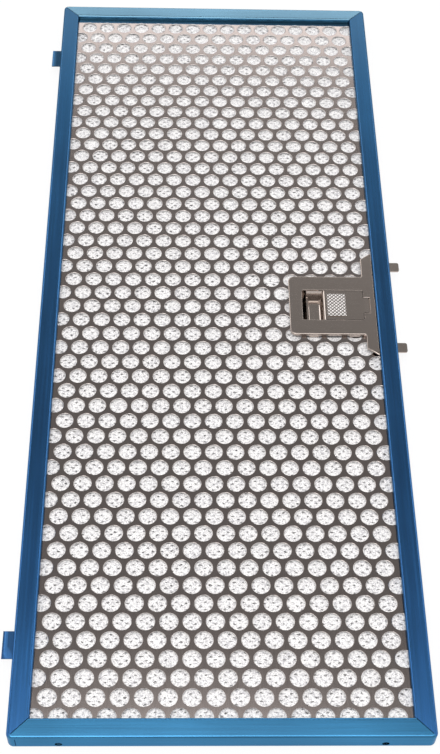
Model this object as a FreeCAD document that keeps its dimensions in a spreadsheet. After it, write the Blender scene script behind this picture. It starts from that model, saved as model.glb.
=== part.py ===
import FreeCAD, Part
import math
import os
import Sketcher

# Cooker hood grease filter cassette, in millimetres.
# It lies on its back: +Z is the front face, +X the latch side, +Y the far short end.
# The origin is the middle of the back, on the surface that the cassette lies on.

SIZES = [
    # Frame: one strip folded to a C, with a lip turned down from the front flange.
    ("frame_length", "450"),
    ("frame_width", "176"),
    ("frame_depth", "9.4"),
    ("strip_gauge", "0.6"),
    ("flange_width", "9"),
    ("lip_height", "2.6"),
    ("bend_radius", "1.2"),
    ("corner_radius", "2.6"),
    ("mitre_gap", "0.3"),
    ("seam_offset", "3.4"),
    ("lap_length", "11"),
    ("drain_diameter", "3"),
    ("drain_spacing", "134"),
    ("drain_height", "3.1"),
    ("lug_length", "12.6"),
    ("lug_spacing", "365"),
    ("lug_height", "6.6"),
    ("side_reach", "4.8"),
    # Perforated sheets.
    ("sheet_gauge", "0.5"),
    ("hole_diameter", "8.2"),
    ("hole_pitch", "10"),
    ("pattern_shift_x", "-2.6"),
    ("pattern_shift_y", "1.6"),
    ("seat_clearance", "0.15"),
    ("edge_clearance", "0.8"),
    # Expanded metal layers: crimped walls with lozenge openings.
    ("layer_count", "5"),
    ("wire_gauge", "0.3"),
    ("crimp_pitch", "8"),
    ("lozenge_length", "15"),
    ("lozenge_width", "9"),
    ("lozenge_rows", "18"),
    ("lozenge_columns", "6"),
    # Latch plate: T-shaped cover with its edges folded down.
    ("latch_shift", "1.8"),
    ("plate_length", "43"),
    ("plate_width", "36.8"),
    ("plate_gauge", "0.7"),
    ("plate_gap", "0.3"),
    ("plate_corner", "3"),
    ("plate_inner_corner", "1"),
    ("plate_edge", "0.4"),
    ("wing_far", "34.4"),
    ("wing_near", "31.1"),
    ("wing_slant", "4.2"),
    ("wing_width", "5.6"),
    ("window_length", "30.8"),
    ("window_width", "19"),
    ("tongue_length", "3.2"),
    ("tongue_width", "10"),
    ("end_bar_width", "2.5"),
    ("tab_first", "11.7"),
    ("tab_spacing", "20"),
    ("tab_width", "5"),
    ("tab_foot", "2.6"),
    # Latch slider: pad, finger scoop, cross bar and bolts in one pressing.
    ("slider_gauge", "0.7"),
    ("slide_clearance", "0.2"),
    ("window_gap", "0.3"),
    ("slide_travel", "5"),
    ("pad_length", "20.2"),
    ("pad_sink", "0.1"),
    ("knurl_length", "9.6"),
    ("knurl_width", "14.5"),
    ("knurl_rise", "0.25"),
    ("joggle_run", "1.2"),
    ("scoop_length", "7.8"),
    ("scoop_floor_width", "14"),
    ("scoop_lip", "1.7"),
    ("scoop_radius", "2"),
    ("press_radius", "0.8"),
    ("bar_width", "5"),
    ("bolt_width", "5.6"),
    ("bolt_spacing", "51.6"),
    ("bolt_corner", "1"),
    # Latch tray and springs.
    ("tray_gauge", "0.6"),
    ("tray_flange", "3"),
    ("spring_diameter", "4"),
    ("spring_wire", "0.6"),
    ("spring_turns", "7"),
    ("spring_room", "12.8"),
    ("spring_seat", "0.1"),
]

CUT_OVER = 1.0  # how far a cutting shape runs past the faces that it opens

doc = FreeCAD.newDocument("GreaseFilter")
dims = doc.addObject("Spreadsheet::Sheet", "dims")
for row, (alias, number) in enumerate(SIZES, start=1):
    dims.set(f"A{row}", alias)
    dims.set(f"B{row}", number)
    dims.setAlias(f"B{row}", alias)
doc.recompute()


class Size:
    """A size as spreadsheet text. Sums and products of sizes are sizes too."""

    def __init__(self, text):
        self.text = text

    @property
    def value(self):
        return float(dims.evalExpression(self.text))

    def __add__(self, other):
        return Size(f"({self.text} + {as_size(other).text})")

    def __sub__(self, other):
        return Size(f"({self.text} - ({as_size(other).text}))")

    def __mul__(self, factor):
        return Size(f"({self.text} * {as_size(factor).text})")

    def __truediv__(self, divisor):
        return Size(f"({self.text} / {as_size(divisor).text})")

    def __neg__(self):
        return Size(f"(-1 * {self.text})")


def as_size(number):
    return number if isinstance(number, Size) else Size(f"({number})")


def cell(alias):
    return Size(f"dims.{alias}")


# Frame faces.
half_length = cell("frame_length") / 2
half_width = cell("frame_width") / 2
depth = cell("frame_depth")
strip = cell("strip_gauge")
seat = cell("seat_clearance")
lip_x = half_width - cell("flange_width")
lip_y = half_length - cell("flange_width")
lip_bottom = depth - cell("lip_height")

# Heights of the stack inside the frame, from the back.
rear_sheet_bottom = strip + seat
rear_sheet_top = rear_sheet_bottom + cell("sheet_gauge")
sheet_top = lip_bottom - seat
sheet_bottom = sheet_top - cell("sheet_gauge")
mesh_bottom = rear_sheet_top + seat
mesh_top = sheet_bottom - seat
layer_pitch = (mesh_top - mesh_bottom) / cell("layer_count")
sheet_half_width = half_width - strip - cell("edge_clearance")
sheet_half_length = half_length - strip - cell("edge_clearance")

# Heights of the latch: the bar slides on the front sheet, under the plate.
running = cell("slide_clearance")
gauge = cell("slider_gauge")
bar_bottom = sheet_top + running
bar_top = bar_bottom + gauge
plate_bottom = bar_top + running
plate_top = plate_bottom + cell("plate_gauge")
pad_top = plate_top - cell("pad_sink")
pad_bottom = pad_top - gauge
tray_bottom = rear_sheet_top + seat
tray_floor = tray_bottom + cell("tray_gauge")
scoop_bottom = tray_floor + running
scoop_floor = scoop_bottom + gauge
scoop_wall_top = plate_bottom - running

# Places along X, from the lip inwards.
plate_right = lip_x - cell("plate_gap")
plate_left = plate_right - cell("plate_length")
wing_left = plate_right - cell("wing_width")
tongue_end = plate_right - cell("end_bar_width")
window_right = tongue_end - cell("tongue_length")
window_left = window_right - cell("window_length")
pad_right = window_right - cell("window_gap")
riser_x = pad_right - cell("pad_length")
scoop_end = riser_x - cell("scoop_length")
bar_right = half_width - strip - cell("window_gap")
bar_left = bar_right - cell("bar_width")
bolt_tip = half_width + cell("side_reach")
tray_left = scoop_end - cell("slide_travel") - cell("window_gap")
tray_right = pad_right + cell("window_gap")
spring_left = pad_right - gauge - cell("spring_room")

# Half widths along Y. The latch sits a little beyond the middle of its side.
latch_shift = cell("latch_shift")
plate_half = cell("plate_width") / 2
window_half = cell("window_width") / 2
tongue_half = cell("tongue_width") / 2
pad_half = window_half - cell("window_gap")
neck_half = tongue_half - cell("window_gap")
floor_half = cell("scoop_floor_width") / 2
bar_half = (cell("bolt_spacing") + cell("bolt_width")) / 2
bolt_inner = (cell("bolt_spacing") - cell("bolt_width")) / 2
tray_half = window_half + gauge + cell("window_gap")
spring_y = (neck_half + pad_half + cell("window_gap")) / 2
shoulder_inner = neck_half + cell("window_gap")


def new_body(label):
    body = doc.addObject("PartDesign::Body", label)
    body.Label = label
    return body


def new_sketch(body, name, plane, offset):
    """A sketch on one of the body's origin planes, moved along the plane's normal."""
    sketch = body.newObject("Sketcher::SketchObject", name)
    planes = {feature.Role: feature for feature in body.Origin.OriginFeatures}
    sketch.AttachmentSupport = (planes[plane], [""])
    sketch.MapMode = "FlatFace"
    sketch.setExpression("AttachmentOffset.Base.z", as_size(offset).text)
    return sketch


def bind(sketch, constraint, size):
    index = sketch.addConstraint(constraint)
    sketch.setExpression(f"Constraints[{index}]", size.text)


def polygon(sketch, points):
    """A closed outline of straight lines, each corner bound to its two sizes."""
    points = [(as_size(x), as_size(y)) for x, y in points]
    corners = [FreeCAD.Vector(x.value, y.value, 0) for x, y in points]
    lines = []
    for index, corner in enumerate(corners):
        following = corners[(index + 1) % len(corners)]
        lines.append(sketch.addGeometry(Part.LineSegment(corner, following)))
    for index, line in enumerate(lines):
        after = lines[(index + 1) % len(lines)]
        sketch.addConstraint(Sketcher.Constraint("Coincident", line, 2, after, 1))
    for line, (x, y) in zip(lines, points):
        bind(sketch, Sketcher.Constraint("DistanceX", -1, 1, line, 1, x.value), x)
        bind(sketch, Sketcher.Constraint("DistanceY", -1, 1, line, 1, y.value), y)


def rounded(sketch, points):
    """A closed outline of level and upright lines. A point with a third size is a round corner."""
    corners = [FreeCAD.Vector(as_size(p[0]).value, as_size(p[1]).value, 0) for p in points]
    radii = [as_size(p[2]) if len(p) > 2 else None for p in points]
    count = len(points)
    lines = []
    for index in range(count):
        following = (index + 1) % count
        along = (corners[following] - corners[index]).normalize()
        start = corners[index]
        end = corners[following]
        if radii[index]:
            start = start + along * radii[index].value
        if radii[following]:
            end = end - along * radii[following].value
        lines.append(sketch.addGeometry(Part.LineSegment(start, end)))
    for index, line in enumerate(lines):
        start = corners[index]
        end = corners[(index + 1) % count]
        upright = abs(start.x - end.x) < abs(start.y - end.y)
        sketch.addConstraint(Sketcher.Constraint("Vertical" if upright else "Horizontal", line))
        size = as_size(points[index][0 if upright else 1])
        kind = "DistanceX" if upright else "DistanceY"
        bind(sketch, Sketcher.Constraint(kind, -1, 1, line, 1, size.value), size)
    for index in range(count):
        before = lines[index - 1]
        after = lines[index]
        if not radii[index]:
            sketch.addConstraint(Sketcher.Constraint("Coincident", before, 2, after, 1))
            continue
        add_round_corner(sketch, before, after, corners[index], radii[index])


def add_round_corner(sketch, before, after, corner, radius):
    """An arc between the ends of two lines. Arcs run anticlockwise, so a hollow corner's is reversed."""
    start = sketch.Geometry[before].EndPoint
    end = sketch.Geometry[after].StartPoint
    centre = start + end - corner
    turns_left = (corner - start).cross(end - corner).z > 0
    low, high = (start, end) if turns_left else (end, start)
    low_angle = math.atan2(low.y - centre.y, low.x - centre.x)
    round_part = Part.Circle(centre, FreeCAD.Vector(0, 0, 1), radius.value)
    arc = sketch.addGeometry(Part.ArcOfCircle(round_part, low_angle, low_angle + math.pi / 2))
    first, last = (1, 2) if turns_left else (2, 1)
    sketch.addConstraint(Sketcher.Constraint("Tangent", before, 2, arc, first))
    sketch.addConstraint(Sketcher.Constraint("Tangent", arc, last, after, 1))
    bind(sketch, Sketcher.Constraint("Radius", arc, radius.value), radius)


def rectangle(sketch, x_low, x_high, y_low, y_high):
    rounded(sketch, [(x_low, y_low), (x_high, y_low), (x_high, y_high), (x_low, y_high)])


def circle(sketch, x, y, diameter):
    x, y, radius = as_size(x), as_size(y), as_size(diameter) / 2
    centre = FreeCAD.Vector(x.value, y.value, 0)
    ring = sketch.addGeometry(Part.Circle(centre, FreeCAD.Vector(0, 0, 1), radius.value))
    bind(sketch, Sketcher.Constraint("DistanceX", -1, 1, ring, 3, x.value), x)
    bind(sketch, Sketcher.Constraint("DistanceY", -1, 1, ring, 3, y.value), y)
    bind(sketch, Sketcher.Constraint("Radius", ring, radius.value), radius)


def extrude(body, kind, name, sketch, length):
    """A Pad or a Pocket that runs from its sketch along the sketch's normal."""
    feature = body.newObject(f"PartDesign::{kind}", name)
    feature.Profile = sketch
    feature.setExpression("Length", as_size(length).text)
    if kind == "Pocket":
        feature.Reversed = True
    before = body.Tip.BaseFeature.Shape.Volume if kind == "Pocket" else 0
    doc.recompute()
    if kind == "Pocket" and not feature.Shape.Volume < before:
        raise RuntimeError(f"{body.Label}: {name} cuts nothing")
    return feature


def plan(body, kind, name, low, high, draw):
    """A feature drawn in plan, from the height low to the height high."""
    sketch = new_sketch(body, f"{name}Sketch", "XY_Plane", low)
    draw(sketch)
    return extrude(body, kind, name, sketch, as_size(high) - low)


def across(body, kind, name, half, draw):
    """A feature drawn in its XZ section, that runs from +half to -half along Y."""
    sketch = new_sketch(body, f"{name}Sketch", "XZ_Plane", -half)
    draw(sketch)
    return extrude(body, kind, name, sketch, half * 2)


def along(body, kind, name, low, high, draw):
    """A feature drawn in its YZ section, that runs from low to high along X."""
    sketch = new_sketch(body, f"{name}Sketch", "YZ_Plane", low)
    draw(sketch)
    return extrude(body, kind, name, sketch, as_size(high) - low)


def fillet_edges(body, name, radius, wanted):
    base = body.Tip
    names = [f"Edge{n}" for n, edge in enumerate(base.Shape.Edges, start=1) if wanted(edge)]
    fillet = body.newObject("PartDesign::Fillet", name)
    fillet.Base = (base, names)
    fillet.setExpression("Radius", as_size(radius).text)
    doc.recompute()
    return fillet


def ring(sketch, outer_x, outer_y, inner_x, inner_y, outer_radius=None, inner_radius=None):
    for x, y, radius in ((outer_x, outer_y, outer_radius), (inner_x, inner_y, inner_radius)):
        turn = [radius] if radius else []
        corners = [(-x, -y), (x, -y), (x, y), (-x, y)]
        rounded(sketch, [[*corner, *turn] for corner in corners])


def build_frame():
    """The folded strip: back flange, wall, front flange and lip, with bends and openings."""
    body = new_body("frame")
    outer = (half_width, half_length)
    corner = cell("corner_radius")
    opening = (lip_x, lip_y)
    plan(body, "Pad", "Wall", 0, depth, lambda s: ring(
        s, *outer, half_width - strip, half_length - strip, corner, corner - strip))
    plan(body, "Pad", "BackFlange", 0, strip, lambda s: ring(s, *outer, *opening, corner))
    plan(body, "Pad", "FrontFlange", depth - strip, depth, lambda s: ring(s, *outer, *opening, corner))
    plan(body, "Pad", "Lip", lip_bottom, depth, lambda s: ring(
        s, lip_x + strip, lip_y + strip, *opening))
    fold_edges(body)
    cut_mitres(body)
    cut_seam(body)
    cut_drains(body)
    press_lugs(body)
    cut_bolt_ways(body)
    return body


def fold_edges(body):
    """Rounds the folds along the outside of both flanges and along the lip."""
    middle_x = (half_width.value + lip_x.value) / 2
    middle_y = (half_length.value + lip_y.value) / 2
    top = depth.value
    small = 1e-6

    def on_fold(edge):
        box = edge.BoundBox
        level = box.ZLength < small
        outside = max(abs(box.XMin), abs(box.XMax)) > middle_x or max(abs(box.YMin), abs(box.YMax)) > middle_y
        at_top = abs(box.ZMin - top) < small
        at_back = abs(box.ZMin) < small
        return level and (at_top or (at_back and outside))

    fillet_edges(body, "Folds", cell("bend_radius"), on_fold)


def cut_mitres(body):
    """Opens the mitres of the back and front flanges, from the opening out to the fold."""
    shift = cell("mitre_gap") / (2 * math.sqrt(2))
    start = -as_size(CUT_OVER)
    end = cell("flange_width") - cell("bend_radius") - strip
    slit = [
        (lip_x + start + shift, lip_y + start - shift), (lip_x + end + shift, lip_y + end - shift),
        (lip_x + end - shift, lip_y + end + shift), (lip_x + start - shift, lip_y + start + shift),
    ]

    def slits(sketch):
        for side in (-1, 1):
            for near in (-1, 1):
                polygon(sketch, [(x * side, y * near) for x, y in slit])

    plan(body, "Pocket", "FrontMitres", lip_bottom - CUT_OVER, depth + CUT_OVER, slits)
    plan(body, "Pocket", "BackMitres", -as_size(CUT_OVER), strip + CUT_OVER / 2, slits)


def cut_seam(body):
    """Where the strip's two ends meet, in the near wall, with the lap welded on behind."""
    wall_inside = -half_length + strip
    seam_x = -half_width + cell("seam_offset")
    bend = cell("bend_radius")
    plan(body, "Pocket", "Seam", bend, depth - bend, lambda s: rectangle(
        s, seam_x, seam_x + cell("mitre_gap"), -half_length - CUT_OVER, wall_inside + CUT_OVER))
    lap_left = seam_x - cell("mitre_gap")
    plan(body, "Pad", "Lap", strip, sheet_bottom, lambda s: rectangle(
        s, lap_left, lap_left + cell("lap_length"), wall_inside, wall_inside + strip))


def cut_drains(body):
    """Round drain holes through both short walls."""

    def holes(sketch):
        for side in (-1, 1):
            circle(sketch, cell("drain_spacing") / 2 * side, cell("drain_height"), cell("drain_diameter"))

    across(body, "Pocket", "Drains", half_length + CUT_OVER, holes)


def press_lugs(body):
    """Two lugs, cut on three sides in the -X wall and folded out level."""
    lug_half = cell("lug_length") / 2
    top = cell("lug_height")
    bottom = top - strip

    def windows(sketch):
        for end in (-1, 1):
            middle = cell("lug_spacing") / 2 * end
            rectangle(sketch, middle - lug_half, middle + lug_half, cell("bend_radius"), bottom)

    def tabs(sketch):
        for end in (-1, 1):
            middle = cell("lug_spacing") / 2 * end
            rectangle(sketch, middle - lug_half, middle + lug_half, bottom, top)

    along(body, "Pocket", "LugWindows", -half_width - CUT_OVER, -half_width + strip + CUT_OVER / 2, windows)
    along(body, "Pad", "Lugs", -half_width - cell("side_reach"), -half_width + strip, tabs)


def cut_bolt_ways(body):
    """Slots in the +X wall for the bolts, and the notch in the lip that lets the bar slide back."""
    low = bar_bottom - running
    high = bar_top + running

    def slots(sketch):
        for end in (-1, 1):
            near_edge = latch_shift + (bolt_inner - cell("window_gap")) * end
            far_edge = latch_shift + (bar_half + cell("window_gap")) * end
            edges = (near_edge, far_edge) if end > 0 else (far_edge, near_edge)
            rectangle(sketch, *edges, low, high)

    along(body, "Pocket", "BoltSlots", half_width - strip - CUT_OVER / 2, half_width + CUT_OVER, slots)
    notch_half = bar_half + cell("window_gap") * 2
    along(body, "Pocket", "LipNotch", lip_x - CUT_OVER / 2, lip_x + strip + CUT_OVER / 2, lambda s: rectangle(
        s, latch_shift - notch_half, latch_shift + notch_half, lip_bottom - CUT_OVER, high))


def add_piece(label, shape):
    piece = doc.addObject("Part::Feature", label)
    piece.Label = label
    piece.Shape = shape
    return piece


def closed_wire(points):
    return Part.makePolygon([*points, points[0]])


def plan_prism(points, bottom, top):
    """An upright prism on an outline in plan."""
    base = [FreeCAD.Vector(x, y, bottom) for x, y in points]
    return Part.Face(closed_wire(base)).extrude(FreeCAD.Vector(0, 0, top - bottom))


def block(x_low, x_high, y_low, y_high, bottom, top):
    corners = [(x_low, y_low), (x_high, y_low), (x_high, y_high), (x_low, y_high)]
    return plan_prism(corners, bottom, top)


def steps_within(limit, start, pitch):
    """The places start, start + pitch and so on, both ways, that lie within plus and minus the limit."""
    first = math.ceil((-limit - start) / pitch)
    last = math.floor((limit - start) / pitch)
    return [start + pitch * step for step in range(first, last + 1)]


def hole_centres():
    """A 60 degree lattice of the holes whose centre lies inside the lip."""
    pitch = cell("hole_pitch").value
    row = pitch * math.sqrt(3) / 2
    shift_x = cell("pattern_shift_x").value
    shift_y = cell("pattern_shift_y").value
    centres = []
    for offset_x, offset_y in ((0, 0), (pitch / 2, row)):
        columns = steps_within(lip_x.value, shift_x + offset_x, pitch)
        rows = steps_within(lip_y.value, shift_y + offset_y, row * 2)
        centres += [(x, y) for x in columns for y in rows]
    return centres


def perforated_sheet(bottom):
    """A flat sheet with its round holes, cut out of one face and given its thickness."""
    half_x = sheet_half_width.value
    half_y = sheet_half_length.value
    corners = [(-half_x, -half_y), (half_x, -half_y), (half_x, half_y), (-half_x, half_y)]
    wires = [closed_wire([FreeCAD.Vector(x, y, bottom) for x, y in corners])]
    radius = cell("hole_diameter").value / 2
    downwards = FreeCAD.Vector(0, 0, -1)
    for x, y in hole_centres():
        wires.append(Part.Wire(Part.makeCircle(radius, FreeCAD.Vector(x, y, bottom), downwards)))
    return Part.Face(wires).extrude(FreeCAD.Vector(0, 0, cell("sheet_gauge").value))


def build_rear_sheet():
    return add_piece("rear_sheet", perforated_sheet(rear_sheet_bottom.value))


def latch_way(half, bottom, top):
    """An opening behind the latch plate, as long as the tray needs."""
    room = cell("tray_gauge").value + seat.value
    middle = latch_shift.value
    return block(tray_left.value - room, tray_right.value + room, middle - half, middle + half, bottom, top)


def tray_way(bottom, top):
    """The opening that the latch tray drops through."""
    return latch_way(tray_half.value + cell("tray_gauge").value + seat.value, bottom, top)


def plate_way(bottom, top):
    """The larger opening in the top layer, clear of the plate's tabs."""
    return latch_way(plate_half.value + seat.value, bottom, top)


def tab_ways(bottom, top):
    """Slits for the latch plate's tabs."""
    outer = plate_half.value + seat.value
    inner = plate_half.value - cell("plate_gauge").value - seat.value
    reach = cell("tab_width").value / 2 + seat.value
    middle = latch_shift.value
    slits = []
    for x in tab_places():
        for low, high in ((middle + inner, middle + outer), (middle - outer, middle - inner)):
            slits.append(block(x.value - reach, x.value + reach, low, high, bottom, top))
    return slits


def tab_places():
    first = plate_left + cell("tab_first")
    return [first, first + cell("tab_spacing")]


def build_front_sheet():
    bottom = sheet_bottom.value - CUT_OVER
    top = sheet_top.value + CUT_OVER
    ways = [tray_way(bottom, top), *tab_ways(bottom, top)]
    return add_piece("front_sheet", perforated_sheet(sheet_bottom.value).cut(ways))


def build_mesh_layer(number):
    """One crimped layer with lozenge openings. Odd layers are crimped along X, even ones along Y."""
    bottom = (mesh_bottom + layer_pitch * (number - 1)).value
    top = bottom + (layer_pitch - seat).value
    odd = number % 2 == 1
    ways = lozenges(odd, bottom - CUT_OVER, top + CUT_OVER)
    if number == int(cell("layer_count").value):
        ways.append(plate_way(bottom - CUT_OVER, top + CUT_OVER))
    else:
        ways.append(tray_way(bottom - CUT_OVER, top + CUT_OVER))
    return add_piece(f"mesh_layer_{number}", crimped_wall(odd, bottom, top).cut(ways))


def crimped_wall(along_x, bottom, top):
    """A wall folded in even crimps, drawn across them and extruded along them."""
    reach = (sheet_half_length if along_x else sheet_half_width).value
    length = (sheet_half_width if along_x else sheet_half_length).value
    folds = 2 * round(reach * 2 / cell("crimp_pitch").value)
    wire = cell("wire_gauge").value
    lower = []
    upper = []
    for fold in range(folds + 1):
        place = -reach + 2 * reach * fold / folds
        height = top - wire if fold % 2 else bottom
        lower.append((place, height))
        upper.append((place, height + wire))
    outline = lower + upper[::-1]
    if along_x:
        section = [FreeCAD.Vector(-length, place, height) for place, height in outline]
        run = FreeCAD.Vector(2 * length, 0, 0)
    else:
        section = [FreeCAD.Vector(place, -length, height) for place, height in outline]
        run = FreeCAD.Vector(0, 2 * length, 0)
    return Part.Face(closed_wire(section)).extrude(run)


def lozenges(odd, bottom, top):
    """Even rows of lozenge openings. Those of even layers lie between those of odd ones."""
    half_x = cell("lozenge_length").value / 2
    half_y = cell("lozenge_width").value / 2
    openings = []
    for x in even_places(sheet_half_width.value, int(cell("lozenge_columns").value), odd):
        for y in even_places(sheet_half_length.value, int(cell("lozenge_rows").value), odd):
            corners = [(x - half_x, y), (x, y - half_y), (x + half_x, y), (x, y + half_y)]
            openings.append(plan_prism(corners, bottom, top))
    return openings


def even_places(reach, count, centred):
    """The middles of so many equal shares of the span, or else the lines between them."""
    share = 2 * reach / count
    if centred:
        return [-reach + share * (step + 0.5) for step in range(count)]
    return [-reach + share * step for step in range(1, count)]


def plate_outline(sketch, inset, over):
    """The T of the plate, drawn in by the inset, and run over at the lip and at the ends of its wings."""
    left = plate_left + inset
    half = plate_half - inset
    wing = wing_left + inset
    right = plate_right + over
    far = cell("wing_far") + over
    near = -cell("wing_near") - over
    turn = cell("plate_corner") - inset
    inner_turn = cell("plate_inner_corner") + inset
    rounded(sketch, [
        (right, near), (right, far),
        (wing, far), (wing, half, inner_turn),
        (left, half, turn), (left, -half, turn),
        (wing, -half, inner_turn), (wing, near),
    ])


def build_latch_plate():
    body = new_body("latch_plate")
    fold_bottom = sheet_top + seat
    sheet = cell("plate_gauge")
    plan(body, "Pad", "Blank", fold_bottom, plate_top, lambda s: plate_outline(s, as_size(0), as_size(0)))
    plan(body, "Pocket", "WingEnds", fold_bottom - CUT_OVER, plate_top + CUT_OVER, wing_ends)
    round_plate_edge(body)
    plan(body, "Pocket", "Underside", fold_bottom - CUT_OVER, plate_bottom, lambda s: plate_outline(
        s, sheet, as_size(CUT_OVER)))
    plan(body, "Pocket", "Window", plate_bottom - CUT_OVER, plate_top + CUT_OVER, window_outline)
    add_tabs(body, fold_bottom)
    return body


def wing_ends(sketch):
    """What is sheared off the ends of the wings, on a slant from the lip."""
    past = wing_left - CUT_OVER
    for end, tip in ((1, cell("wing_far")), (-1, cell("wing_near"))):
        corner = (tip - cell("wing_slant")) * end
        beyond = (tip + CUT_OVER) * end
        polygon(sketch, [
            (plate_right, tip * end), (plate_right, beyond), (past, beyond), (past, corner), (wing_left, corner),
        ])


def round_plate_edge(body):
    small = 1e-6
    right = plate_right.value
    top = plate_top.value

    def on_edge(edge):
        box = edge.BoundBox
        level = abs(box.ZMin - top) < small and box.ZLength < small
        return level and box.XMin < right - small

    fillet_edges(body, "PlateEdge", cell("plate_edge"), on_edge)


def window_outline(sketch):
    turn = cell("press_radius")
    rounded(sketch, [
        (window_left, -window_half, turn), (window_right, -window_half, turn),
        (window_right, -tongue_half), (tongue_end, -tongue_half),
        (tongue_end, tongue_half), (window_right, tongue_half),
        (window_right, window_half, turn), (window_left, window_half, turn),
    ])


def add_tabs(body, fold_bottom):
    """Four tabs from the folded edges, through the sheet and bent over behind it."""
    sheet = cell("plate_gauge")
    reach = cell("tab_width") / 2
    foot_top = sheet_bottom - seat
    foot_bottom = foot_top - sheet

    def strips(sketch, depth_in):
        for end in (-1, 1):
            outer = plate_half * end
            inner = (plate_half - depth_in) * end
            edges = (inner, outer) if end > 0 else (outer, inner)
            for x in tab_places():
                rectangle(sketch, x - reach, x + reach, *edges)

    plan(body, "Pad", "Tabs", foot_bottom, plate_bottom, lambda s: strips(s, sheet))
    plan(body, "Pad", "TabFeet", foot_bottom, foot_top, lambda s: strips(s, sheet + cell("tab_foot")))


def build_latch_tray():
    """The tray behind the plate: floor, walls, welding flanges and the springs' abutments."""
    body = new_body("latch_tray")
    wall = cell("tray_gauge")
    outer_half = tray_half + wall
    plan(body, "Pad", "Block", tray_bottom, plate_bottom, lambda s: rectangle(
        s, tray_left - wall, tray_right + wall, -outer_half, outer_half))
    plan(body, "Pocket", "Inside", tray_floor, plate_bottom + CUT_OVER, lambda s: rectangle(
        s, tray_left, tray_right, -tray_half, tray_half))
    plan(body, "Pocket", "NeckWay", sheet_top, plate_bottom + CUT_OVER, lambda s: rectangle(
        s, tray_right - CUT_OVER / 2, tray_right + wall + CUT_OVER, -tray_half, tray_half))

    def flanges(sketch):
        outer = outer_half + cell("tray_flange")
        rectangle(sketch, tray_left - wall, tray_right, tray_half, outer)
        rectangle(sketch, tray_left - wall, tray_right, -outer, -tray_half)

    plan(body, "Pad", "Flanges", plate_bottom - wall, plate_bottom, flanges)
    add_abutments(body, wall)
    return body


def shoulder_strips(sketch, x_low, x_high):
    """Two strips in plan, one on each side of the neck, as wide as the pad's shoulders."""
    for end in (-1, 1):
        edges = (shoulder_inner, pad_half) if end > 0 else (-pad_half, -shoulder_inner)
        rectangle(sketch, x_low, x_high, *edges)


def add_abutments(body, wall):
    """Tongues cut in the floor and folded up, which the springs push against."""
    tall = cell("spring_diameter") + cell("press_radius")
    plan(body, "Pad", "Abutments", tray_bottom, tray_floor + tall, lambda s: shoulder_strips(
        s, spring_left - wall, spring_left))
    plan(body, "Pocket", "AbutmentWindows", tray_bottom - CUT_OVER, tray_floor + CUT_OVER / 4,
         lambda s: shoulder_strips(s, spring_left, spring_left + tall))


def build_latch_slider():
    body = new_body("latch_slider")
    across(body, "Pad", "Strip", pad_half, scoop_section)
    shape_scoop_walls(body)
    across(body, "Pad", "Neck", neck_half, neck_section)
    plan(body, "Pad", "Bar", bar_bottom, bar_top, bar_outline)
    tab_low = scoop_floor + running
    plan(body, "Pad", "Shoulders", tab_low, pad_top - gauge / 2, lambda s: shoulder_strips(
        s, pad_right - gauge, pad_right))
    knurl_half = cell("knurl_width") / 2
    knurl_left = riser_x + cell("scoop_radius")
    plan(body, "Pad", "KnurlBase", pad_top - gauge / 2, pad_top + cell("knurl_rise"), lambda s: rectangle(
        s, knurl_left, knurl_left + cell("knurl_length"), -knurl_half, knurl_half))
    return body


def scoop_section(sketch):
    """Pad, riser, scoop floor and its turned-up lip, as one bent strip."""
    tight = cell("press_radius")
    wide = cell("scoop_radius")
    lip_top = scoop_floor + cell("scoop_lip")
    rounded(sketch, [
        (scoop_end, scoop_bottom, tight + gauge), (riser_x + gauge, scoop_bottom, wide + gauge),
        (riser_x + gauge, pad_bottom, tight), (pad_right, pad_bottom),
        (pad_right, pad_top), (riser_x, pad_top, tight + gauge),
        (riser_x, scoop_floor, wide), (scoop_end + gauge, scoop_floor, tight),
        (scoop_end + gauge, lip_top), (scoop_end, lip_top),
    ])


def shape_scoop_walls(body):
    """Trims the scoop to its slanted ends, then adds the two end walls."""
    past = pad_half + CUT_OVER
    right = riser_x + gauge

    def outside(sketch):
        for end in (-1, 1):
            polygon(sketch, [
                (floor_half * end, scoop_bottom - CUT_OVER), (floor_half * end, scoop_floor),
                (window_half * end, scoop_wall_top), (past * end, scoop_wall_top),
                (past * end, scoop_bottom - CUT_OVER),
            ])

    def walls(sketch):
        for end in (-1, 1):
            polygon(sketch, [
                (floor_half * end, scoop_bottom), ((floor_half + gauge) * end, scoop_bottom),
                ((window_half + gauge) * end, scoop_wall_top), (window_half * end, scoop_wall_top),
                (floor_half * end, scoop_floor),
            ])

    along(body, "Pocket", "ScoopTrim", scoop_end - CUT_OVER, right + CUT_OVER / 4, outside)
    along(body, "Pad", "ScoopWalls", scoop_end, right, walls)


def neck_section(sketch):
    """The neck steps down from the pad's level to pass under the plate's end bar."""
    step_end = tongue_end - cell("window_gap")
    step_start = step_end - cell("joggle_run")
    start = pad_right - gauge
    polygon(sketch, [
        (start, pad_bottom), (step_start, pad_bottom), (step_end, bar_bottom),
        (bar_left + gauge, bar_bottom), (bar_left + gauge, bar_top), (step_end, bar_top),
        (step_start, pad_top), (start, pad_top),
    ])


def bar_outline(sketch):
    turn = cell("bolt_corner")
    rounded(sketch, [
        (bar_left, -bar_half), (bolt_tip, -bar_half, turn), (bolt_tip, -bolt_inner, turn),
        (bar_right, -bolt_inner), (bar_right, bolt_inner), (bolt_tip, bolt_inner, turn),
        (bolt_tip, bar_half, turn), (bar_left, bar_half),
    ])


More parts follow.
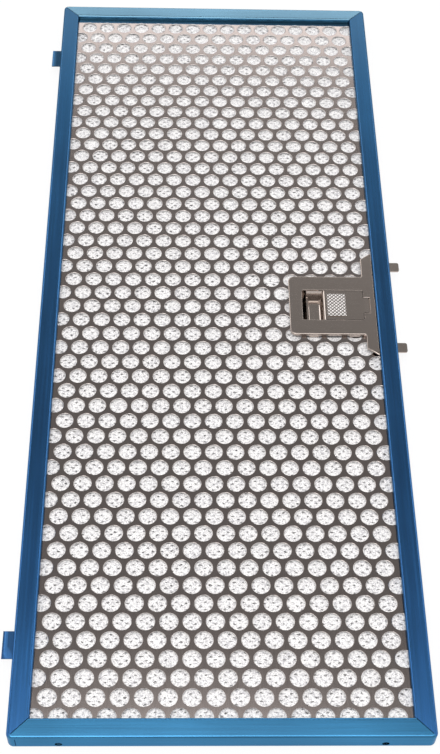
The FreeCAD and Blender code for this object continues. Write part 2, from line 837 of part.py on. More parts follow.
def build_spring(label, end):
    """A compression spring between the tray's abutment and the slider's shoulder."""
    body = new_body(label)
    room = cell("spring_room") - cell("spring_seat") * 2
    wire = cell("spring_wire")
    coil_radius = (cell("spring_diameter") - wire) / 2
    pitch = (room - wire) / cell("spring_turns")
    level = tray_floor + cell("spring_diameter") / 2 + cell("press_radius")
    sketch = new_sketch(body, "WireSketch", "XY_Plane", level)
    sketch.setExpression("AttachmentOffset.Base.x", (spring_left + cell("spring_seat") + wire / 2).text)
    sketch.setExpression("AttachmentOffset.Base.y", (spring_y * end).text)
    circle(sketch, 0, coil_radius, wire)
    doc.recompute()
    coil = body.newObject("PartDesign::AdditiveHelix", "Coil")
    coil.Profile = sketch
    coil.ReferenceAxis = (sketch, ["H_Axis"])
    coil.Mode = "pitch-height-angle"
    coil.setExpression("Pitch", pitch.text)
    coil.setExpression("Height", (room - wire).text)
    doc.recompute()
    return body


def check(bodies):
    for item in doc.Objects:
        if "Invalid" in item.State or "Error" in item.State:
            raise RuntimeError(f"{item.Label} failed: {item.State}")
    for body in bodies:
        shape = body.Shape
        if shape.isNull() or not shape.isValid():
            raise RuntimeError(f"{body.Label} has no valid shape")
        print(f"{body.Label}: {len(shape.Solids)} solid, {shape.Volume:.1f} mm3")


def main():
    bodies = [build_frame(), build_rear_sheet()]
    bodies += [build_mesh_layer(number) for number in range(1, int(cell("layer_count").value) + 1)]
    bodies.append(build_front_sheet())
    latch = [build_latch_plate(), build_latch_tray(), build_latch_slider()]
    latch += [build_spring("latch_spring_far", 1), build_spring("latch_spring_near", -1)]
    for body in latch:
        body.setExpression("Placement.Base.y", latch_shift.text)
    bodies += latch
    doc.recompute()
    check(bodies)
    os.makedirs("parts", exist_ok=True)
    for body in bodies:
        body.Shape.exportStep(f"parts/{body.Label}.step")


main()
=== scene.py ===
import math

import bmesh
import bpy
from mathutils import Matrix, Vector, noise


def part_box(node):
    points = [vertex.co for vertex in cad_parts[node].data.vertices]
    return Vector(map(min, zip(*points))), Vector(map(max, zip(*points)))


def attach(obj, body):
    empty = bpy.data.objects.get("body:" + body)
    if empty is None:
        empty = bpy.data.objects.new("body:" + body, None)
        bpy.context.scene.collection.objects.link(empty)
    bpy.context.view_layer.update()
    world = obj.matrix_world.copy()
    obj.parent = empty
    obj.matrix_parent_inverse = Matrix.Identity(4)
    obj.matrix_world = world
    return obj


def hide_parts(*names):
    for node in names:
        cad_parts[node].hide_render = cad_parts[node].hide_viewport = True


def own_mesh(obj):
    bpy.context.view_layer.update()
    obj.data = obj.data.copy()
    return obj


# Cooker hood grease filter, in metres: +Z is the front face, +X the latch side, +Y the far end.

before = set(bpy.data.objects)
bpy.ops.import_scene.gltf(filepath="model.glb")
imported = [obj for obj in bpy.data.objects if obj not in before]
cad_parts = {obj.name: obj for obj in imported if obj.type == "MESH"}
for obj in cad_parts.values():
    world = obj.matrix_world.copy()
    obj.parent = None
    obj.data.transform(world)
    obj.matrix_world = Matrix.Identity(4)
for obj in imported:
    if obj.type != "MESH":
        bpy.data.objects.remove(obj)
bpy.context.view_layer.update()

MM = 0.001

# Camera, worked out from the hole pattern in the photograph.
CAMERA_PLACE = Vector((-17.6, -450.1, 567.6)) * MM
CAMERA_AIM = Vector((4.9, -41.9, 6.65)) * MM
CAMERA_ROLL = math.radians(2.92)
FOCAL_PIXELS = 1440.3
PHOTO_WIDTH = 440
PHOTO_HEIGHT = 754
AXIS_PIXEL_X = 228.8
SENSOR = 36.0
CLIP_START = 0.01

# The frame's outside, the opening inside its lip, and the height from which its front face counts.
HALF_WIDTH = 88 * MM
HALF_LENGTH = 225 * MM
FLANGE = 9 * MM
FACE_FROM = 9 * MM
LIP_X = HALF_WIDTH - FLANGE
LIP_Y = HALF_LENGTH - FLANGE

# Punched sheets, laid in six-sided cells with one hole each.
HOLE_PITCH = 10 * MM
HOLE_RADIUS = 4.1 * MM
HOLE_SIDES = 24
CELL_SIDES = 6
CELL_CUTS = HOLE_SIDES // CELL_SIDES - 1
CELL_CORNER = HOLE_PITCH / math.sqrt(3)
ROW_PITCH = HOLE_PITCH * math.sqrt(3) / 2
PATTERN_SHIFT_X = -2.6 * MM
PATTERN_SHIFT_Y = 1.6 * MM
DIE_ROLL = 0.12 * MM
DIE_ROLL_DEPTH = 0.08 * MM

# The way through the filling for the latch tray. The latch sits a little beyond the middle
# of its side.
LATCH_SHIFT = 1.8 * MM
LATCH_WAY_LEFT = 38.7 * MM
LATCH_WAY_RIGHT = 73.7 * MM
LATCH_WAY_HALF = 11.2 * MM
TAB_WAY_HALF = 18.5 * MM

# Expanded metal. The real lozenges, of 1 to 2 mm, are too fine to show, so they are drawn coarser.
# The strands are so broad that they nearly meet, in place of many finer ones over each other.
# The crumpling has a seed, without which it would be drawn from the clock.
LAYERS = 5
LOZENGE_LENGTH = 4.2 * MM
LOZENGE_WIDTH = 3.35 * MM
LAYER_STAGGER = Vector((0.37, 0.61, 0))
STRAND_WIDTH = 2.6 * MM
STRAND_GAUGE = 0.12 * MM
STRAND_RISE = 0.85
STRAND_SWAY = STRAND_WIDTH / 3
STRAND_WANDER = 0.2 * MM
CRUMPLE_PITCH = 1.2 * MM
CRUMPLE_SEED = 1
LAYER_SEED_STEP = 17.3

# Knurl on the latch pad: small pyramids between grooves that cross. Drawn a little coarser than
# the real knurl of about 1 mm, so that it shows.
KNURL_LEFT = 54.5 * MM
KNURL_RIGHT = 64.1 * MM
KNURL_HALF = 7.25 * MM
KNURL_PITCH = 1.4 * MM
KNURL_GROOVE = 0.32 * MM
KNURL_RISE = 0.14 * MM
KNURL_LIFT = 0.01 * MM

# How far the cut edges of the latch are broken.
PLATE_EDGE_BREAK = 0.28 * MM
SLIDER_EDGE_BREAK = 0.16 * MM

# Springs behind the pad.
SPRING_TURNS = 7
SPRING_WIRE = 0.3 * MM
WIRE_SIDES = 10
COIL_STEPS = 20

# What counts as flat, as a bend, as a hole's rim and as a cut edge, and how close points are joined.
FLAT_ANGLE = math.radians(0.5)
BEND_ANGLE = math.radians(30)
RIM_ANGLE = math.radians(20)
CUT_ANGLE = math.radians(60)
NODE_WELD = 0.001 * MM
CELL_WELD = 0.01 * MM

# Patterns of the finishes. Rolling and drawing lines are about 0.1 mm wide, which is too fine
# to show, so they are drawn coarser.
STREAK_WIDTH = 0.9 * MM
STREAK_LENGTH = 70 * MM
PATCH_SIZE = 45 * MM
GRAIN_LENGTH = 6 * MM
SHEET_GRAIN = 0.5 * MM
LATCH_GRAIN = 0.35 * MM
WIRE_GRAIN = 0.4 * MM
FLECK_SIZE = 0.6 * MM
GRAIN_DEPTH = 0.1 * MM

# Light: levels by degrees above the horizon, where 1 shows a colour as it is written. A wall starts
# at one share of the heading towards it and has its full level from another.
BRIGHTEST = 3.0
SIDE_LEVELS = [(0, 1.0), (60, 1.0), (90, 1.1)]
FAR_LEVELS = [
    (0, 1.0), (28, 1.3), (33, 3.0), (39.7, 3.0), (40.6, 2.4), (41.2, 0.4), (42.5, 0.36), (47, 0.35),
    (51, 0.285), (58, 0.26), (65, 0.26), (67.2, 0.4), (68.6, 1.9), (78, 1.9), (90, 1.2)]
NEAR_LEVELS = [(0, 1.0), (9, 1.0), (13, 0.55), (54, 0.55), (62, 1.0), (90, 1.15)]
WALL_STARTS = 0.3
WALL_FULL = 0.75
CEILING_LAMP_PLACE = Vector((0, -0.15, 1.6))
CAMERA_LAMP_PLACE = Vector((-0.45, -0.9, 1.7))
LAMP_SIZE = 0.9
CEILING_LAMP_WATTS = 4.0
CAMERA_LAMP_WATTS = 7.5

# Table top: half its side, and the share of plain white in what is seen of it.
TABLE_HALF = 4
TABLE_WHITE = 0.9


def linear(hex_colour):
    """A colour written in sRGB hex, as linear red, green, blue and alpha."""
    channels = [int(hex_colour[place:place + 2], 16) / 255 for place in (1, 3, 5)]
    return [c / 12.92 if c <= 0.04045 else ((c + 0.055) / 1.055) ** 2.4 for c in channels] + [1.0]


def add_node(tree, kind, inputs=None, **settings):
    """Adds one node. An input is a socket to link from or a plain value, and the rest are settings."""
    node = tree.nodes.new(f"ShaderNode{kind}")
    for name, value in settings.items():
        setattr(node, name, value)
    for name, value in (inputs or {}).items():
        socket = node.inputs[name]
        if isinstance(value, bpy.types.NodeSocket):
            tree.links.new(value, socket)
        else:
            socket.default_value = value
    return node


def new_material(name):
    """A material with only its shader and its output."""
    material = bpy.data.materials.new(name)
    material.use_nodes = True
    tree = material.node_tree
    tree.nodes.clear()
    shader = add_node(tree, "BsdfPrincipled")
    add_node(tree, "OutputMaterial", {"Surface": shader.outputs["BSDF"]})
    return material, tree, shader


def blue_film_steel():
    """Steel strip under a thin blue film: streaks along each side of the frame, and a soft gloss.

    The film is deep blue on the long sides, painted darker towards the far end as painted shade, and
    greener on the short ones, where the front face is painted paler towards the far end as a painted
    highlight."""
    material, tree, shader = new_material("blue_film_steel")
    fine = 1 / STREAK_WIDTH
    long = 1 / STREAK_LENGTH
    place = add_node(tree, "TexCoord").outputs["Object"]
    split = add_node(tree, "SeparateXYZ", {"Vector": place}).outputs
    across = add_node(tree, "Math", {0: split["X"]}, operation="ABSOLUTE").outputs[0]
    along = add_node(tree, "Math", {0: split["Y"]}, operation="ABSOLUTE").outputs[0]
    past = add_node(tree, "Math", {0: along, 1: across}, operation="SUBTRACT").outputs[0]
    at_end = add_node(
        tree, "Math", {0: past, 1: HALF_LENGTH - HALF_WIDTH}, operation="GREATER_THAN").outputs[0]
    side_grain = add_node(tree, "Mapping", {"Vector": place, "Scale": (fine, long, fine)}).outputs[0]
    end_grain = add_node(tree, "Mapping", {"Vector": place, "Scale": (long, fine, fine)}).outputs[0]
    grain = add_node(tree, "MixRGB", {0: at_end, 1: side_grain, 2: end_grain}).outputs[0]
    streaks = add_node(tree, "TexNoise", {
        "Vector": grain, "Scale": 1.0, "Detail": 4.0, "Roughness": 0.6}).outputs[0]
    patches = add_node(tree, "TexNoise", {
        "Vector": place, "Scale": 1 / PATCH_SIZE, "Detail": 2.0}).outputs[0]
    shade = add_node(tree, "Math", {0: streaks, 1: patches}, operation="MULTIPLY").outputs[0]
    level = add_node(tree, "MapRange", {
        "Value": shade, "From Min": 0.12, "From Max": 0.42, "To Min": 0.82, "To Max": 1.14}).outputs[0]
    # Painted light: the sides' film darkens towards the far end (painted shade), and the end's front face
    # grows paler towards the far end (painted highlight).
    distance = add_node(tree, "MapRange", {
        "Value": split["Y"], "From Min": -HALF_LENGTH, "From Max": HALF_LENGTH}).outputs[0]
    on_face = add_node(
        tree, "Math", {0: split["Z"], 1: FACE_FROM}, operation="GREATER_THAN").outputs[0]
    far_face_painted_highlight = add_node(tree, "Math", {0: distance, 1: on_face}, operation="MULTIPLY").outputs[0]
    side_film_and_painted_shade = add_node(tree, "MixRGB", {
        0: distance, 1: linear("#366CA6"), 2: linear("#264F6F")}).outputs[0]
    end_film_and_painted_highlight = add_node(tree, "MixRGB", {
        0: far_face_painted_highlight, 1: linear("#3B7DA8"), 2: linear("#62879C")}).outputs[0]
    film = add_node(tree, "MixRGB", {0: at_end, 1: side_film_and_painted_shade, 2: end_film_and_painted_highlight}).outputs[0]
    colour = add_node(tree, "MixRGB", {0: 1.0, 1: film, 2: level}, blend_type="MULTIPLY")
    rough = add_node(tree, "MapRange", {"Value": streaks, "To Min": 0.18, "To Max": 0.3})
    bump = add_node(tree, "Bump", {"Height": streaks, "Strength": 0.06, "Distance": GRAIN_DEPTH})
    tree.links.new(colour.outputs[0], shader.inputs["Base Color"])
    tree.links.new(rough.outputs[0], shader.inputs["Roughness"])
    tree.links.new(bump.outputs[0], shader.inputs["Normal"])
    shader.inputs["Metallic"].default_value = 1.0
    shader.inputs["Specular Tint"].default_value = linear("#A5C3DC")
    shader.inputs["Coat Weight"].default_value = 0.25
    shader.inputs["Coat Roughness"].default_value = 0.12
    return material


def rolled_steel(name, grain_x, grain_y, dark, light):
    """Stainless steel as rolled: a fine grain one way and a dull, slightly warm shine."""
    material, tree, shader = new_material(name)
    place = add_node(tree, "TexCoord").outputs["Object"]
    grain_place = add_node(tree, "Mapping", {
        "Vector": place, "Scale": (1 / grain_x, 1 / grain_y, 1 / min(grain_x, grain_y))}).outputs[0]
    grain = add_node(tree, "TexNoise", {
        "Vector": grain_place, "Scale": 1.0, "Detail": 3.0, "Roughness": 0.65}).outputs[0]
    colour = add_node(tree, "MixRGB", {0: grain, 1: linear(dark), 2: linear(light)})
    rough = add_node(tree, "MapRange", {"Value": grain, "To Min": 0.09, "To Max": 0.15})
    bump = add_node(tree, "Bump", {"Height": grain, "Strength": 0.04, "Distance": GRAIN_DEPTH})
    tree.links.new(colour.outputs[0], shader.inputs["Base Color"])
    tree.links.new(rough.outputs[0], shader.inputs["Roughness"])
    tree.links.new(bump.outputs[0], shader.inputs["Normal"])
    shader.inputs["Metallic"].default_value = 1.0
    return material


def tooled_steel(name, colour, roughness):
    """Bare steel as a tool leaves it, in one even finish.

    A hole's bore is torn by the punch, so it is matt, and it is painted near white as a painted
    highlight: the light ring at each hole's rim. The knurl's pyramids are painted bright as painted
    highlights, against the darker steel of its grooves."""
    material, _, shader = new_material(name)
    shader.inputs["Base Color"].default_value = linear(colour)
    shader.inputs["Metallic"].default_value = 1.0
    shader.inputs["Roughness"].default_value = roughness
    return material


def bright_aluminium():
    """Expanded aluminium: thin strands, torn and twisted, so that each catches the light its own way.

    The real strands are finer than the drawn ones, and so many of them scatter light much as a pale matt
    surface does. So little of it is metallic, and grey flecks stand for single strands, as painted shade
    in the gaps between them."""
    material, tree, shader = new_material("bright_expanded_aluminium")
    place = add_node(tree, "TexCoord").outputs["Object"]
    # The grey flecks are painted shade, for the gaps between finer strands.
    flecks = add_node(tree, "TexNoise", {
        "Vector": place, "Scale": 1 / FLECK_SIZE, "Detail": 1.0}).outputs[0]
    level = add_node(tree, "MapRange", {
        "Value": flecks, "From Min": 0.38, "From Max": 0.54}).outputs[0]
    colour = add_node(tree, "MixRGB", {0: level, 1: linear("#BDBBBE"), 2: linear("#EFEDEC")})
    tree.links.new(colour.outputs[0], shader.inputs["Base Color"])
    shader.inputs["Metallic"].default_value = 0.1
    shader.inputs["Roughness"].default_value = 0.4
    return material


def spring_steel():
    """Drawn spring wire: grey and smooth, with a faint drawing grain."""
    material, tree, shader = new_material("drawn_spring_wire")
    place = add_node(tree, "TexCoord").outputs["Object"]
    grain = add_node(tree, "TexNoise", {
        "Vector": place, "Scale": 1 / WIRE_GRAIN, "Detail": 2.0}).outputs[0]
    colour = add_node(tree, "MixRGB", {0: grain, 1: linear("#8A8A8C"), 2: linear("#B4B4B6")})
    tree.links.new(colour.outputs[0], shader.inputs["Base Color"])
    shader.inputs["Metallic"].default_value = 1.0
    shader.inputs["Roughness"].default_value = 0.28
    return material


def add_piece(name, bm, material, body):
    """Makes a mesh piece that rides on a body and takes a material slot's finish."""
    mesh = bpy.data.meshes.new(name)
    bm.to_mesh(mesh)
    bm.free()
    mesh.materials.append(material)
    piece = bpy.data.objects.new(name, mesh)
    bpy.context.scene.collection.objects.link(piece)
    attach(piece, body)
    return piece


def break_edges(bm, width):
    """Takes the sharpness off cut edges, so that they show as fine bright lines."""
    bmesh.ops.dissolve_limit(bm, angle_limit=FLAT_ANGLE, verts=bm.verts, edges=bm.edges)
    sharp = [edge for edge in bm.edges if edge.is_manifold and edge.calc_face_angle() > CUT_ANGLE]
    bmesh.ops.bevel(bm, geom=sharp, offset=width, affect="EDGES", segments=2, profile=0.5, material=-1,
                    clamp_overlap=True)


def dress_node(node, material, body, edge_break=0):
    """A copy of a CAD node with its triangles joined up and its bends shaded smooth."""
    bm = bmesh.new()
    bm.from_mesh(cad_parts[node].data)
    bmesh.ops.remove_doubles(bm, verts=bm.verts, dist=NODE_WELD)
    if edge_break:
        break_edges(bm, edge_break)
    for face in bm.faces:
        face.smooth = True
        face.material_index = 0
    piece = add_piece(f"{node}_dressed", bm, material, body)
    piece.data.set_sharp_from_angle(angle=BEND_ANGLE)
    keep_flats_flat(piece)
    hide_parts(node)


def keep_flats_flat(piece):
    """Weights the shading by area, so that a bend's shading stays on the bend."""
    weights = piece.modifiers.new("flat_faces", "WEIGHTED_NORMAL")
    weights.keep_sharp = True
    with bpy.context.temp_override(object=piece, active_object=piece, selected_objects=[piece]):
        bpy.ops.object.modifier_apply(modifier=weights.name)


def clip_to_plan(bm, low, high):
    """Cuts off what lies outside a rectangle in plan."""
    for place, outward in ((low, (-1, 0, 0)), (low, (0, -1, 0)), (high, (1, 0, 0)), (high, (0, 1, 0))):
        whole = bm.verts[:] + bm.edges[:] + bm.faces[:]
        bmesh.ops.bisect_plane(bm, geom=whole, plane_co=place, plane_no=outward, clear_outer=True)


def open_way(bm, half, margin=0):
    """Opens the way for the latch tray through a flat mesh.

    The margin is for strands that grow to both sides of the mesh's edges."""
    low = Vector((LATCH_WAY_LEFT - margin, LATCH_SHIFT - half - margin, 0))
    high = Vector((LATCH_WAY_RIGHT + margin, LATCH_SHIFT + half + margin, 0))
    for place, across in ((low, (1, 0, 0)), (low, (0, 1, 0)), (high, (1, 0, 0)), (high, (0, 1, 0))):
        near = [face for face in bm.faces if in_plan(face, low, high, HOLE_PITCH)]
        touched = {item for face in near for item in (face, *face.edges, *face.verts)}
        bmesh.ops.bisect_plane(bm, geom=list(touched), plane_co=place, plane_no=across)
    inside = [face for face in bm.faces if in_plan(face, low, high, 0)]
    bmesh.ops.delete(bm, geom=inside, context="FACES")


def in_plan(face, low, high, room):
    """Whether a face's middle lies in a rectangle in plan, with some room round it."""
    middle = face.calc_center_median()
    return low.x - room < middle.x < high.x + room and low.y - room < middle.y < high.y + room


def edge_ring(bm, sides, radius, height, cuts=0):
    """A ring of edges at a height, with each side cut into equal pieces."""
    known = set(bm.edges)
    verts = bmesh.ops.create_circle(bm, segments=sides, radius=radius)["verts"]
    bmesh.ops.translate(bm, verts=verts, vec=(0, 0, height))
    drawn = [edge for edge in bm.edges if edge not in known]
    if cuts:
        bmesh.ops.subdivide_edges(bm, edges=drawn, cuts=cuts)
    return [edge for edge in bm.edges if edge not in known]


def punched_cell(bottom, top):
    """One six-sided cell of a sheet, with its round hole and the rim that the punch rolls over."""
    bm = bmesh.new()
    mouth_height = top - math.copysign(DIE_ROLL_DEPTH, top - bottom)
    front = edge_ring(bm, CELL_SIDES, CELL_CORNER, top, CELL_CUTS)
    rim = edge_ring(bm, HOLE_SIDES, HOLE_RADIUS + DIE_ROLL, top)
    mouth = edge_ring(bm, HOLE_SIDES, HOLE_RADIUS, mouth_height)
    back = edge_ring(bm, CELL_SIDES, CELL_CORNER, bottom, CELL_CUTS)
    foot = edge_ring(bm, HOLE_SIDES, HOLE_RADIUS, bottom)
    for outer, inner in ((front, rim), (back, foot), (rim, mouth)):
        bmesh.ops.bridge_loops(bm, edges=outer + inner)
    for face in bmesh.ops.bridge_loops(bm, edges=mouth + foot)["faces"]:
        face.material_index = 1
    bmesh.ops.recalc_face_normals(bm, faces=bm.faces)
    return bm


def blank_cell(bottom, top):
    """A six-sided cell of the sheet's margin, with no hole."""
    bm = bmesh.new()
    for height in (bottom, top):
        ring = edge_ring(bm, CELL_SIDES, CELL_CORNER, height, CELL_CUTS)
        face = bmesh.ops.contextual_create(bm, geom=ring)["faces"][0]
        if (face.normal.z > 0) != (height == max(bottom, top)):
            face.normal_flip()
    return bm


def steps_within(limit, start, pitch):
    """The places start, start + pitch and so on, both ways, within plus and minus the limit."""
    first = math.ceil((-limit - start) / pitch)
    last = math.floor((limit - start) / pitch)
    return [start + pitch * step for step in range(first, last + 1)]


def cell_centres(half_x, half_y):
    """The middles of the cells, in rows that are staggered, up to a pitch past the sheet."""
    centres = []
    for offset_x, offset_y in ((0, 0), (HOLE_PITCH / 2, ROW_PITCH)):
        columns = steps_within(half_x + HOLE_PITCH, PATTERN_SHIFT_X + offset_x, HOLE_PITCH)
        rows = steps_within(half_y + HOLE_PITCH, PATTERN_SHIFT_Y + offset_y, ROW_PITCH * 2)
        centres += [Vector((x, y, 0)) for x in columns for y in rows]
    return centres


def lay_cells(bm, cell, centres):
    """Copies a cell to each of its centres."""
    pattern = bpy.data.meshes.new("cell")
    cell.to_mesh(pattern)
    cell.free()
    for centre in centres:
        pattern.transform(Matrix.Translation(centre))
        bm.from_mesh(pattern)
        pattern.transform(Matrix.Translation(-centre))
    bpy.data.meshes.remove(pattern)


def punched_sheet(node, material, bore, front):
    """A perforated sheet, laid cell by cell, with its edges closed."""
    low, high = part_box(node)
    bm = bmesh.new()
    inner, outer = (low.z, high.z) if front else (high.z, low.z)
    punched = []
    blank = []
    for centre in cell_centres(high.x, high.y):
        inside = abs(centre.x) < LIP_X and abs(centre.y) < LIP_Y
        (punched if inside else blank).append(centre)
    lay_cells(bm, punched_cell(inner, outer), punched)
    lay_cells(bm, blank_cell(inner, outer), blank)
    bmesh.ops.remove_doubles(bm, verts=bm.verts, dist=CELL_WELD)
    clip_to_plan(bm, low, high)
    if front:
        open_way(bm, LATCH_WAY_HALF)
    close_edges(bm, low.z, high.z)
    for face in bm.faces:
        face.smooth = True
    piece = add_piece(f"{node}_punched", bm, material, "cassette")
    piece.data.materials.append(bore)
    piece.data.set_sharp_from_angle(angle=RIM_ANGLE)
    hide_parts(node)


def close_edges(bm, bottom, top):
    """Closes the cut edges of a sheet between its two faces."""
    middle = (bottom + top) / 2
    open_edges = [edge for edge in bm.edges
                  if edge.is_boundary and all(vert.co.z > middle for vert in edge.verts)]
    walls = bmesh.ops.extrude_edge_only(bm, edges=open_edges)["geom"]
    for item in walls:
        if isinstance(item, bmesh.types.BMVert):
            item.co.z = bottom
    bmesh.ops.remove_doubles(bm, verts=bm.verts, dist=CELL_WELD)


def expanded_layer(number, material):
    """One sheet of expanded metal: lozenges drawn open, strands of even width, crumpled a little.

    The lozenges of every other layer lie crosswise."""
    node = f"mesh_layer_{number}"
    low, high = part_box(node)
    size = high - low
    cell = Vector((LOZENGE_LENGTH, LOZENGE_WIDTH, 0))
    if number % 2 == 0:
        cell = cell.yxz
    count = math.ceil(size.x / cell.x + size.y / cell.y) + 2
    bm = bmesh.new()
    bmesh.ops.create_grid(bm, x_segments=count, y_segments=count, size=count / 2)
    bmesh.ops.rotate(bm, verts=bm.verts, matrix=Matrix.Rotation(math.radians(45), 3, "Z"))
    diagonal = math.sqrt(2)
    bmesh.ops.scale(bm, verts=bm.verts, vec=(cell.x / diagonal, cell.y / diagonal, 1))
    stagger = LAYER_STAGGER * number
    bmesh.ops.translate(bm, verts=bm.verts, vec=((stagger.x % 1) * cell.x, (stagger.y % 1) * cell.y, 0))
    clip_to_plan(bm, low, high)
    way_half = TAB_WAY_HALF if number == LAYERS else LATCH_WAY_HALF
    open_way(bm, way_half, STRAND_WIDTH / 2)
    bmesh.ops.wireframe(
        bm, faces=bm.faces[:], thickness=STRAND_WIDTH, use_replace=True, use_boundary=True)
    crumple(bm, low, high, way_half, number)
    piece = add_piece(f"expanded_layer_{number}", bm, material, "cassette")
    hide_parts(node)


def crumple(bm, low, high, way_half, number):
    """Thins the strands to their gauge and lets them wander in their layer's own room.

    A point that would wander into the latch's way keeps its place in plan."""
    tall = max(vert.co.z for vert in bm.verts) - min(vert.co.z for vert in bm.verts)
    lowest = low.z + STRAND_GAUGE / 2
    highest = high.z - STRAND_GAUGE / 2
    usual = lowest + (highest - lowest) * STRAND_RISE
    shift = Vector((0, 0, LAYER_SEED_STEP * number))
    for vert in bm.verts:
        height = vert.co.z * STRAND_GAUGE / tall
        wander = noise.noise_vector(Vector((vert.co.x, vert.co.y, 0)) / CRUMPLE_PITCH + shift)
        x = max(low.x, min(high.x, vert.co.x + wander.x * STRAND_SWAY))
        y = max(low.y, min(high.y, vert.co.y + wander.y * STRAND_SWAY))
        z = height + max(lowest, min(highest, usual + wander.z * STRAND_WANDER))
        in_way = LATCH_WAY_LEFT < x < LATCH_WAY_RIGHT and abs(y - LATCH_SHIFT) < way_half
        vert.co = (vert.co.x, vert.co.y, z) if in_way else (x, y, z)


def knurl_field(material, bright):
    """Pyramids on the pad's raised field, in rows that cross at right angles."""
    low = Vector((KNURL_LEFT, LATCH_SHIFT - KNURL_HALF, 0))
    high = Vector((KNURL_RIGHT, LATCH_SHIFT + KNURL_HALF, 0))
    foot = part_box("latch_slider")[1].z + KNURL_LIFT
    count = math.ceil((high - low).length / KNURL_PITCH) + 2
    bm = bmesh.new()
    bmesh.ops.create_grid(bm, x_segments=count, y_segments=count, size=count * KNURL_PITCH / 2)
    bmesh.ops.rotate(bm, verts=bm.verts, matrix=Matrix.Rotation(math.radians(45), 3, "Z"))
    bmesh.ops.translate(bm, verts=bm.verts, vec=((low.x + high.x) / 2, LATCH_SHIFT, foot))
    clip_to_plan(bm, low, high)
    tops = bm.faces[:]
    bmesh.ops.inset_individual(bm, faces=tops, thickness=KNURL_GROOVE)
    # The pyramids' facets take the bright steel, a painted highlight; the grooves keep the pad's steel.
    for facet in bmesh.ops.poke(bm, faces=tops, offset=KNURL_RISE)["faces"]:
        facet.material_index = 1
    piece = add_piece("latch_knurl", bm, material, "slider")
    piece.data.materials.append(bright)


def coil_spring(node, material):
    """A compression spring, wound from a ring of wire."""
    low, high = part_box(node)
    middle = (low + high) / 2
    coil_radius = (high.z - low.z) / 2 - SPRING_WIRE
    bm = bmesh.new()
    ring = bmesh.ops.create_circle(bm, segments=WIRE_SIDES, radius=SPRING_WIRE)["verts"]
    bmesh.ops.translate(bm, verts=ring, vec=(low.x + SPRING_WIRE, middle.y + coil_radius, middle.z))
    steps = SPRING_TURNS * COIL_STEPS
    advance = (high.x - low.x - 2 * SPRING_WIRE) / steps
    bmesh.ops.spin(bm, geom=bm.verts[:] + bm.edges[:], cent=(0, middle.y, middle.z), axis=(1, 0, 0),
                   dvec=(advance, 0, 0), angle=math.tau * SPRING_TURNS, steps=steps)
    bmesh.ops.holes_fill(bm, edges=[edge for edge in bm.edges if edge.is_boundary])
    bmesh.ops.recalc_face_normals(bm, faces=bm.faces)
    for face in bm.faces:
        face.smooth = True
    piece = add_piece(f"{node}_coil", bm, material, "cassette")
    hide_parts(node)
    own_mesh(piece)


def add_camera():
    """The photograph's view of the cassette."""
    data = bpy.data.cameras.new("camera")
    data.sensor_width = SENSOR
    data.lens = FOCAL_PIXELS / PHOTO_HEIGHT * SENSOR
    data.shift_x = (PHOTO_WIDTH / 2 - AXIS_PIXEL_X) / PHOTO_HEIGHT
    data.clip_start = CLIP_START
    camera = bpy.data.objects.new("camera", data)
    bpy.context.scene.collection.objects.link(camera)
    turn = (CAMERA_AIM - CAMERA_PLACE).to_track_quat("-Z", "Y").to_matrix()
    roll = Matrix.Rotation(CAMERA_ROLL, 3, "Z")
    camera.matrix_world = Matrix.Translation(CAMERA_PLACE) @ (turn @ roll).to_4x4()
    bpy.context.scene.camera = camera


def add_floor():
    """A white table top, which keeps the cassette's soft shadow."""
    bm = bmesh.new()
    bmesh.ops.create_grid(bm, x_segments=1, y_segments=1, size=TABLE_HALF)
    mesh = bpy.data.meshes.new("table_top")
    bm.to_mesh(mesh)
    bm.free()
    floor = bpy.data.objects.new("table_top", mesh)
    bpy.context.scene.collection.objects.link(floor)
    material, tree, shader = new_material("white_table_top")
    shader.inputs["Base Color"].default_value = linear("#FFFFFF")
    shader.inputs["Roughness"].default_value = 0.9
    shader.inputs["Specular IOR Level"].default_value = 0.0
    glow = add_node(tree, "Emission", {"Color": linear("#FFFFFF"), "Strength": 1.0}).outputs[0]
    rays = add_node(tree, "LightPath").outputs
    seen = rays["Is Camera Ray"]
    for kind in ("Is Glossy Ray", "Is Transmission Ray"):
        seen = add_node(tree, "Math", {0: seen, 1: rays[kind]}, operation="ADD").outputs[0]
    share = add_node(
        tree, "Math", {0: seen, 1: TABLE_WHITE}, operation="MULTIPLY", use_clamp=True).outputs[0]
    mixed = add_node(tree, "MixShader", {0: share, 1: shader.outputs[0], 2: glow})
    output = next(node for node in tree.nodes if node.type == "OUTPUT_MATERIAL")
    tree.links.new(mixed.outputs[0], output.inputs["Surface"])
    mesh.materials.append(material)


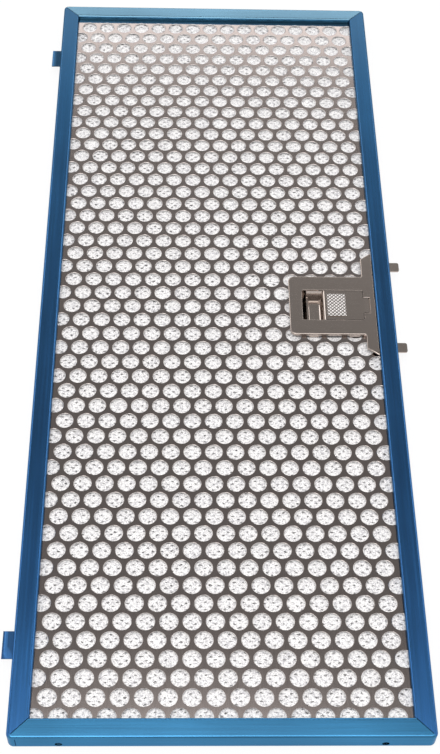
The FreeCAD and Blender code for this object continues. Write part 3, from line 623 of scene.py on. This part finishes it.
def add_room_light():
    """A pale room with a dim wall beyond the far end and another behind the camera.

    The metal mirrors both."""
    world = bpy.data.worlds.new("pale_room")
    bpy.context.scene.world = world
    world.use_nodes = True
    tree = world.node_tree
    tree.nodes.clear()
    way = add_node(tree, "TexCoord").outputs["Generated"]
    split = add_node(tree, "SeparateXYZ", {"Vector": way}).outputs
    flat = add_node(tree, "CombineXYZ", {"X": split["X"], "Y": split["Y"]}).outputs[0]
    heading = add_node(tree, "VectorMath", {0: flat}, operation="NORMALIZE").outputs[0]
    toward = add_node(tree, "SeparateXYZ", {"Vector": heading}).outputs["Y"]
    room = None
    for bands, side in ((SIDE_LEVELS, 0), (FAR_LEVELS, 1), (NEAR_LEVELS, -1)):
        ramp = add_node(tree, "ValToRGB", {"Fac": split["Z"]})
        elements = ramp.color_ramp.elements
        while len(elements) < len(bands):
            elements.new(0.5)
        for element, (angle, level) in zip(elements, bands):
            grey = level / BRIGHTEST
            element.position = math.sin(math.radians(angle))
            element.color = (grey, grey, grey, 1)
        wall = ramp.outputs[0]
        if side:
            share = add_node(tree, "MapRange", {
                "Value": toward, "From Min": side * WALL_STARTS, "From Max": side * WALL_FULL},
                interpolation_type="SMOOTHSTEP").outputs[0]
            wall = add_node(tree, "MixRGB", {0: share, 1: room, 2: wall}).outputs[0]
        room = wall
    light = add_node(tree, "Background", {"Color": room, "Strength": BRIGHTEST})
    add_node(tree, "OutputWorld", {"Surface": light.outputs[0]})


def add_soft_lamp(name, place, watts):
    """A broad soft lamp, turned to the cassette."""
    data = bpy.data.lights.new(name, "AREA")
    data.size = LAMP_SIZE
    data.energy = watts
    lamp = bpy.data.objects.new(name, data)
    bpy.context.scene.collection.objects.link(lamp)
    turn = (-place).to_track_quat("-Z", "Y").to_matrix().to_4x4()
    lamp.matrix_world = Matrix.Translation(place) @ turn


def main():
    blue = blue_film_steel()
    sheet_steel = rolled_steel("rolled_stainless_sheet", SHEET_GRAIN, GRAIN_LENGTH, "#9C918D", "#AAA09C")
    latch_steel = rolled_steel("brushed_stainless_plate", GRAIN_LENGTH, LATCH_GRAIN, "#B6AAA2", "#C3B7AF")
    # The bores are painted near white, a painted highlight for the light ring at each hole's rim.
    bore_painted_highlight_steel = tooled_steel("bores_painted_bright", "#F8F5F3", 0.85)
    # The knurl's pyramids are painted bright, a painted highlight against the steel of the grooves.
    knurl_painted_highlight_steel = tooled_steel("knurl_painted_bright", "#E6E2E0", 0.2)
    aluminium = bright_aluminium()
    wire = spring_steel()
    dress_node("frame", blue, "cassette")
    dress_node("latch_plate", latch_steel, "cassette", PLATE_EDGE_BREAK)
    dress_node("latch_tray", latch_steel, "cassette")
    dress_node("latch_slider", latch_steel, "slider", SLIDER_EDGE_BREAK)
    punched_sheet("front_sheet", sheet_steel, bore_painted_highlight_steel, True)
    punched_sheet("rear_sheet", sheet_steel, bore_painted_highlight_steel, False)
    noise.seed_set(CRUMPLE_SEED)
    for number in range(1, LAYERS + 1):
        expanded_layer(number, aluminium)
    knurl_field(latch_steel, knurl_painted_highlight_steel)
    coil_spring("latch_spring_far", wire)
    coil_spring("latch_spring_near", wire)
    bpy.context.scene.view_settings.view_transform = "Standard"
    add_camera()
    add_floor()
    add_room_light()
    add_soft_lamp("ceiling_lamp", CEILING_LAMP_PLACE, CEILING_LAMP_WATTS)
    add_soft_lamp("camera_side_lamp", CAMERA_LAMP_PLACE, CAMERA_LAMP_WATTS)


main()
